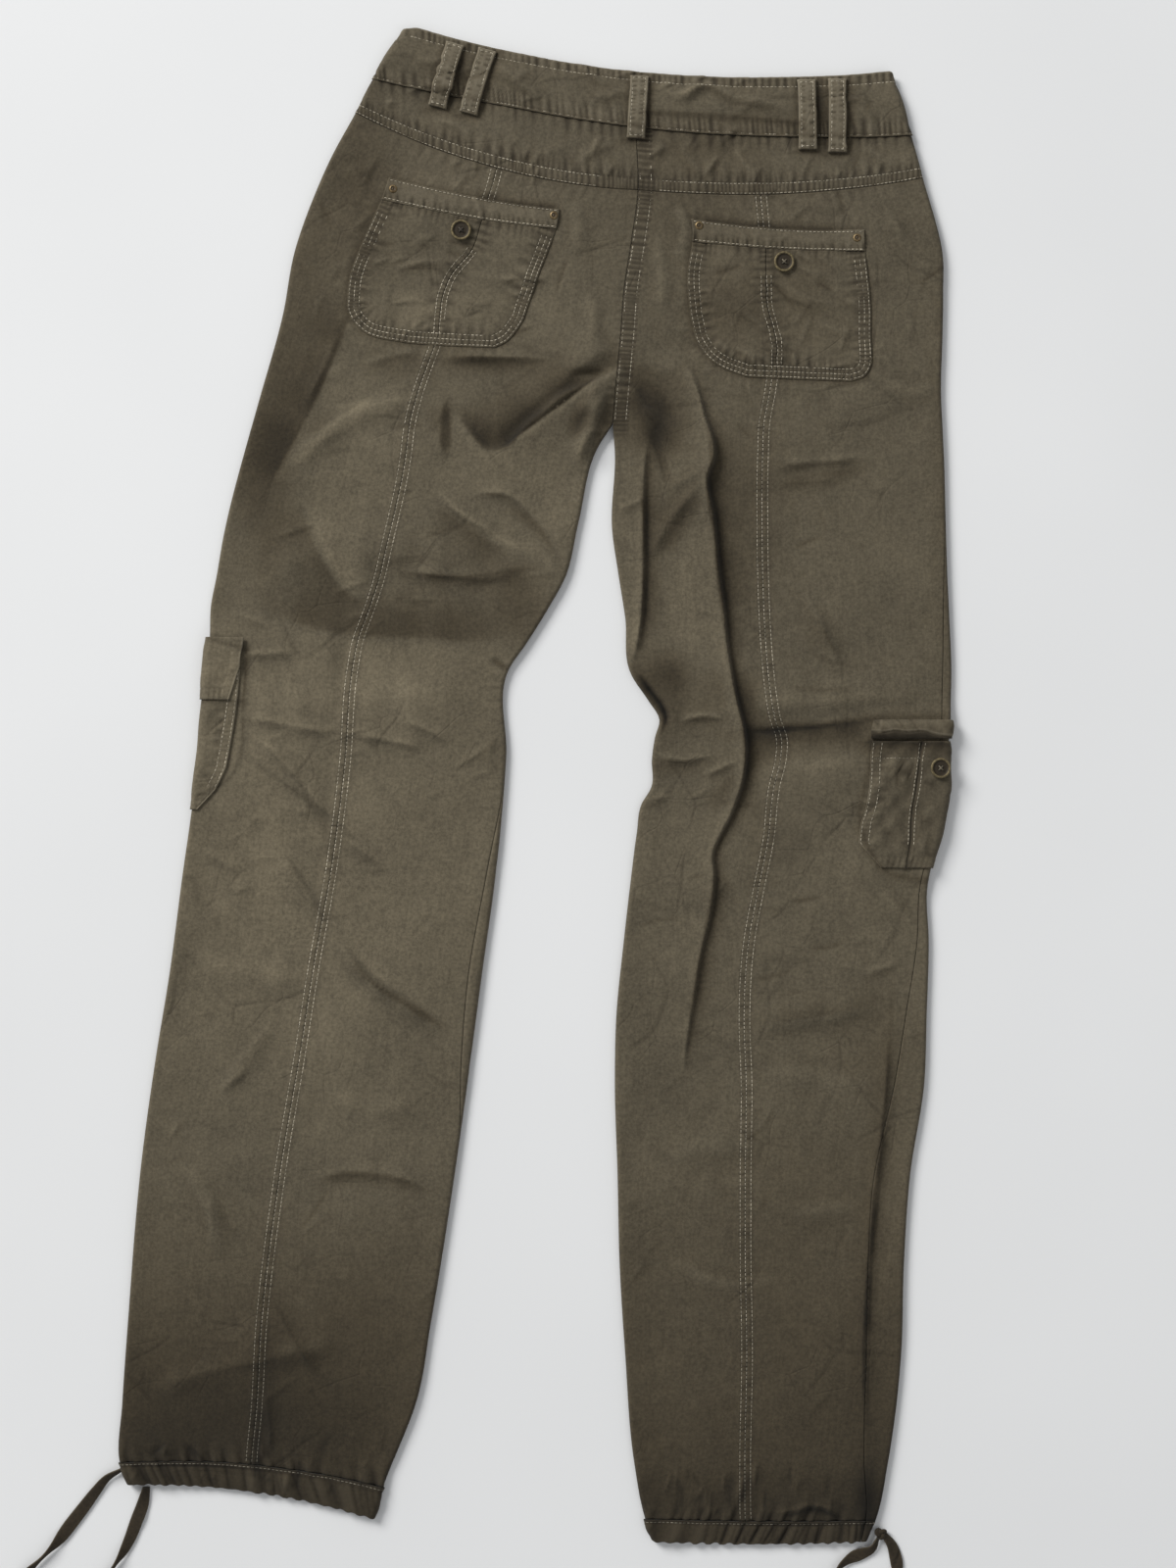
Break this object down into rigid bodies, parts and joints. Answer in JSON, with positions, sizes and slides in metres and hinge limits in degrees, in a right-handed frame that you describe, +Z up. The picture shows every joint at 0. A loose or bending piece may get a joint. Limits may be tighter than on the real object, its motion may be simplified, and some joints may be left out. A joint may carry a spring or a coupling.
{
  "type": "cargo trousers",
  "caption": "Straight-leg cotton cargo trousers laid flat with the back up, with belt loops, buttoned patch pockets, cargo pockets at the knees and drawcord hems.",
  "frame": {"origin": "middle of the box round the garment, without its drawcord ends, on the surface that it lies on", "axes": "+X to the wearer's right, +Y to the waist, +Z up out of the back of the garment"},
  "size_m": [0.6905, 1.1562, 0.0179],
  "materials": {
    "cloth": "washed olive-brown cotton twill, matt, with faded ridges",
    "seam_cloth": "the same twill folded double and stitched, faded along its edges",
    "tape": "narrow folded tape of the same cloth, creased",
    "button": "dark brown resin with a bronzed rim",
    "brass": "aged brass, dull"
  },
  "bodies": {
    "root": {"back_leg_inner_left": "cloth", "back_leg_inner_right": "cloth", "back_leg_outer_left": "cloth", "back_leg_outer_right": "cloth", "back_pocket_band_left": "seam_cloth", "back_pocket_band_right": "seam_cloth", "back_pocket_button_left": "button", "back_pocket_button_right": "button", "back_pocket_inner_left": "cloth", "back_pocket_inner_right": "cloth", "back_pocket_outer_left": "cloth", "back_pocket_outer_right": "cloth", "back_rivet_1": "brass", "back_rivet_2": "brass", "back_rivet_3": "brass", "back_rivet_4": "brass", "back_yoke_left": "cloth", "back_yoke_right": "cloth", "belt_loop_1": "seam_cloth", "belt_loop_2": "seam_cloth", "belt_loop_3": "seam_cloth", "belt_loop_4": "seam_cloth", "belt_loop_5": "seam_cloth", "cargo_button_right": "button", "cargo_flap_left": "seam_cloth", "cargo_flap_right": "seam_cloth", "cargo_pocket_inner_right": "cloth", "cargo_pocket_left": "cloth", "cargo_pocket_outer_right": "cloth", "fly": "cloth", "front_leg_left": "cloth", "front_leg_right": "cloth", "hem_casing_back_left": "seam_cloth", "hem_casing_back_right": "seam_cloth", "hem_casing_front_left": "seam_cloth", "hem_casing_front_right": "seam_cloth", "tie_knot_right": "tape", "tie_left_inner": "tape", "tie_left_outer": "tape", "tie_right_inner": "tape", "tie_right_outer": "tape", "waistband_back": "seam_cloth", "waistband_front_left": "seam_cloth", "waistband_front_right": "seam_cloth"}
  },
  "joints": []
}
